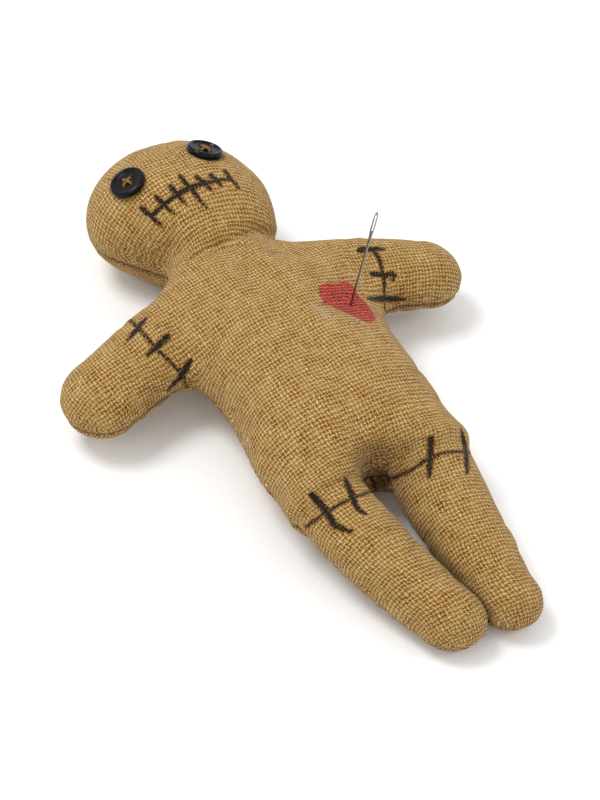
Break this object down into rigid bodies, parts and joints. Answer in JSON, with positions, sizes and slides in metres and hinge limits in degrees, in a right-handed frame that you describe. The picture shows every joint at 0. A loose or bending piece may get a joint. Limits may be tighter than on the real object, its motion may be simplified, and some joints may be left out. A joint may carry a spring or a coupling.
{
  "type": "voodoo doll",
  "caption": "Stuffed burlap voodoo doll lying on its back, with sewn-on button eyes, inked stitch marks, a painted heart and a long needle through its chest.",
  "frame": {"origin": "on the surface that the doll lies on, under the middle of its length and of its arm span", "axes": "+Z out of the doll's front, +Y towards its head, +X towards its left arm"},
  "size_m": [0.1746, 0.2652, 0.0861],
  "materials": {
    "burlap": "coarse straw-coloured plain weave, matte",
    "stuffing": "loose off-white fibre fill",
    "seam_thread": "brown sewing thread",
    "eye_thread": "orange-brown thread",
    "black_plastic": "polished black button plastic",
    "steel": "bright polished needle steel"
  },
  "bodies": {
    "torso": {"torso_front_panel": "burlap", "torso_back_panel": "burlap", "torso_stuffing": "stuffing", "torso_left_side_seam_thread": "seam_thread", "torso_right_side_seam_thread": "seam_thread", "torso_left_shoulder_seam_thread": "seam_thread", "torso_right_shoulder_seam_thread": "seam_thread"},
    "head": {"head_front_panel": "burlap", "head_back_panel": "burlap", "head_stuffing": "stuffing", "head_seam_thread": "seam_thread"},
    "arm_left": {"arm_left_front_panel": "burlap", "arm_left_back_panel": "burlap", "arm_left_stuffing": "stuffing", "arm_left_seam_thread": "seam_thread"},
    "arm_right": {"arm_right_front_panel": "burlap", "arm_right_back_panel": "burlap", "arm_right_stuffing": "stuffing", "arm_right_seam_thread": "seam_thread"},
    "leg_left": {"leg_left_front_panel": "burlap", "leg_left_back_panel": "burlap", "leg_left_stuffing": "stuffing", "leg_left_seam_thread": "seam_thread"},
    "leg_right": {"leg_right_front_panel": "burlap", "leg_right_back_panel": "burlap", "leg_right_stuffing": "stuffing", "leg_right_seam_thread": "seam_thread"},
    "eye_left": {"button_left": "black_plastic", "button_left_thread": "eye_thread"},
    "eye_right": {"button_right": "black_plastic", "button_right_thread": "eye_thread"},
    "needle": {"needle": "steel"}
  },
  "joints": [
    {"name": "neck_nod", "type": "hinge", "parent": "torso", "child": "head", "pos_m": [0, 0.06701, 0.0225], "axis": [0.9954, 0.0958, 0], "range_deg": [-10, 18], "stiffness_Nm_per_rad": 0.05},
    {"name": "arm_left_swing", "type": "hinge", "parent": "torso", "child": "arm_left", "pos_m": [0.047, 0.03251, 0.0225], "axis": [-0.309, -0.9511, 0], "range_deg": [-12, 25], "stiffness_Nm_per_rad": 0.03},
    {"name": "arm_right_swing", "type": "hinge", "parent": "torso", "child": "arm_right", "pos_m": [-0.047, 0.03251, 0.0225], "axis": [-0.309, 0.9511, 0], "range_deg": [-12, 25], "stiffness_Nm_per_rad": 0.03},
    {"name": "leg_left_swing", "type": "hinge", "parent": "torso", "child": "leg_left", "pos_m": [0.01995, -0.05999, 0.0225], "axis": [-1, 0, 0], "range_deg": [-8, 25], "stiffness_Nm_per_rad": 0.05},
    {"name": "leg_right_swing", "type": "hinge", "parent": "torso", "child": "leg_right", "pos_m": [-0.01995, -0.05999, 0.0225], "axis": [-1, 0, 0], "range_deg": [-8, 25], "stiffness_Nm_per_rad": 0.05},
    {"name": "needle_push", "type": "slide", "parent": "torso", "child": "needle", "axis": [0.1561, -0.0698, 0.9853], "range_m": [-0.005, 0.017]},
    {"name": "eye_left_twist", "type": "hinge", "parent": "head", "child": "eye_left", "pos_m": [0.01278, 0.10365, 0.04908], "axis": [0.3492, 0.1651, 0.9224], "range_deg": [-12, 12], "stiffness_Nm_per_rad": 0.002},
    {"name": "eye_right_twist", "type": "hinge", "parent": "head", "child": "eye_right", "pos_m": [-0.02352, 0.10015, 0.04908], "axis": [-0.3742, 0.095, 0.9225], "range_deg": [-12, 12], "stiffness_Nm_per_rad": 0.002}
  ]
}
